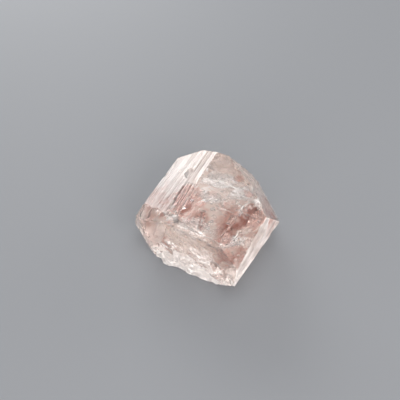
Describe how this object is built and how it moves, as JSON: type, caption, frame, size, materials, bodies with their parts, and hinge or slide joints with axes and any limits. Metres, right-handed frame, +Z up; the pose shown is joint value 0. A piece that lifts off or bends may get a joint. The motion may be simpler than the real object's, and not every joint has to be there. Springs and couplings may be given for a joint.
{
  "type": "topaz crystal",
  "caption": "Clear pale pinkish topaz crystal, a broken stubby prism with striated faces, lying on a flat prism face as a display specimen.",
  "frame": {"origin": "centre of the crystal's box at the surface that it rests on", "axes": "+Z up from the resting prism face; +X to the right and +Y away as the striated face lies at the upper left; the c axis is horizontal, turned 25 degrees from +Y towards +X"},
  "size_m": [0.0354, 0.0374, 0.016],
  "materials": {
    "topaz": "clear to milky, glassy lustre, striated prism faces and a frosted broken end"
  },
  "bodies": {
    "root": {"topaz_crystal": "topaz"}
  },
  "joints": []
}
